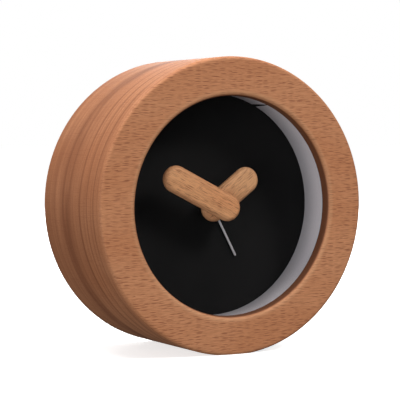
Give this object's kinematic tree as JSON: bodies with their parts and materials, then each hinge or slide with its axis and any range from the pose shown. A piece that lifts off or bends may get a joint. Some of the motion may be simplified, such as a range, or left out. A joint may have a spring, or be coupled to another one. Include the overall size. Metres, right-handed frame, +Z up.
{
  "type": "mantel alarm clock",
  "caption": "Round, deep beech mantel alarm clock with a recessed black dial, rounded wooden hour and minute hands and a thin alarm hand.",
  "frame": {"origin": "bottom centre of the bounding box, in the middle of the flat that the clock stands on", "axes": "+Z up, the clock axis along Y, the dial faces -Y, +X to the right of someone who looks at the dial"},
  "size_m": [0.11, 0.05, 0.1095],
  "materials": {
    "beech_case": "oiled",
    "beech_hands": "oiled",
    "clear_lens": "clear, polished",
    "pale_plastic": "satin",
    "black_dial": "matte black",
    "plywood": "raw",
    "black_plastic": "fine texture",
    "dark_plastic": "satin",
    "white_plastic": "satin",
    "bright_steel": "bright",
    "black_steel": "black",
    "soft_iron": "dull",
    "magnet": "dull",
    "copper": "enamelled wire",
    "brass": "turned",
    "board_green": "solder mask",
    "cell_jacket": "plain sleeve",
    "satin_aluminium": "satin"
  },
  "bodies": {
    "case": {"body": "beech_case", "lens": "clear_lens", "spacer_ring": "pale_plastic", "dial": "black_dial", "backplate": "plywood", "rear_spacer_ring": "dark_plastic", "rear_cover": "black_plastic", "cover_screws": "black_steel", "movement_front_case": "white_plastic", "movement_back_case": "dark_plastic", "movement_screws": "bright_steel", "middle_plate": "white_plastic", "train_bridge": "white_plastic", "circuit_board": "board_green", "driver_chip": "black_plastic", "quartz_crystal": "bright_steel", "buzzer": "black_plastic", "battery": "cell_jacket", "battery_contact_positive": "bright_steel", "battery_contact_negative": "bright_steel", "stator": "soft_iron", "coil_core": "soft_iron", "coil_winding": "copper"},
    "minute": {"minute_arbor": "brass", "minute_hand": "beech_hands", "minute_hand_bush": "brass"},
    "hour": {"hour_wheel": "white_plastic", "hour_hand": "beech_hands", "hour_hand_bush": "brass"},
    "alarm": {"alarm_wheel": "white_plastic", "alarm_hand": "satin_aluminium"},
    "minute_wheel": {"minute_wheel": "white_plastic"},
    "time_set": {"time_set_arbor": "white_plastic", "time_set_knob": "dark_plastic"},
    "alarm_set": {"alarm_set_arbor": "white_plastic", "alarm_set_knob": "dark_plastic"},
    "switch": {"alarm_switch": "white_plastic"},
    "door": {"battery_door": "black_plastic"},
    "centre_wheel": {"centre_wheel": "white_plastic"},
    "third_wheel": {"third_wheel": "white_plastic"},
    "second_wheel": {"second_wheel": "white_plastic"},
    "intermediate_wheel": {"intermediate_wheel": "white_plastic"},
    "rotor": {"rotor": "white_plastic", "rotor_magnet": "magnet"}
  },
  "joints": [
    {"name": "minute_turn", "type": "hinge", "parent": "case", "child": "minute", "pos_m": [0, -0.01, 0.05455], "axis": [0, 1, 0], "continuous": true},
    {"name": "hour_turn", "type": "hinge", "parent": "case", "child": "hour", "pos_m": [0, -0.005, 0.05455], "axis": [0, 1, 0], "continuous": true},
    {"name": "minute_wheel_turn", "type": "hinge", "parent": "case", "child": "minute_wheel", "pos_m": [-0.0105, 0.004, 0.05455], "axis": [0, 1, 0], "continuous": true},
    {"name": "time_set_turn", "type": "hinge", "parent": "case", "child": "time_set", "pos_m": [-0.01591, 0.02, 0.06355], "axis": [0, 1, 0], "continuous": true},
    {"name": "alarm_turn", "type": "hinge", "parent": "case", "child": "alarm", "pos_m": [0, -0.003, 0.05455], "axis": [0, 1, 0], "continuous": true},
    {"name": "alarm_set_turn", "type": "hinge", "parent": "case", "child": "alarm_set", "pos_m": [0.00891, 0.02, 0.06346], "axis": [0, 1, 0], "continuous": true},
    {"name": "second_turn", "type": "hinge", "parent": "case", "child": "second_wheel", "pos_m": [0.00964, 0.0096, 0.05684], "axis": [0, 1, 0], "continuous": true},
    {"name": "third_turn", "type": "hinge", "parent": "case", "child": "third_wheel", "pos_m": [0.00624, 0.0078, 0.05095], "axis": [0, 1, 0], "continuous": true},
    {"name": "centre_turn", "type": "hinge", "parent": "case", "child": "centre_wheel", "pos_m": [0, 0.006, 0.05455], "axis": [0, 1, 0], "continuous": true},
    {"name": "intermediate_turn", "type": "hinge", "parent": "case", "child": "intermediate_wheel", "pos_m": [0.01527, 0.0114, 0.05479], "axis": [0, 1, 0], "continuous": true},
    {"name": "rotor_turn", "type": "hinge", "parent": "case", "child": "rotor", "pos_m": [0.01807, 0.008, 0.04994], "axis": [0, 1, 0], "continuous": true},
    {"name": "alarm_switch_slide", "type": "slide", "parent": "case", "child": "switch", "axis": [1, 0, 0], "range_m": [0, 0.004]},
    {"name": "battery_door_hinge", "type": "hinge", "parent": "case", "child": "door", "pos_m": [0, 0.0206, 0.02395], "axis": [-1, 0, 0], "range_deg": [0, 100]}
  ],
  "couplings": [
    {"joint": "hour_turn", "follows": "minute_turn", "ratio": 0.083333},
    {"joint": "minute_wheel_turn", "follows": "minute_turn", "ratio": -0.33333},
    {"joint": "time_set_turn", "follows": "minute_turn", "ratio": 1},
    {"joint": "alarm_set_turn", "follows": "alarm_turn", "ratio": -2},
    {"joint": "third_turn", "follows": "second_turn", "ratio": -0.13333},
    {"joint": "centre_turn", "follows": "second_turn", "ratio": 0.016667},
    {"joint": "intermediate_turn", "follows": "second_turn", "ratio": -5},
    {"joint": "rotor_turn", "follows": "second_turn", "ratio": 30}
  ]
}
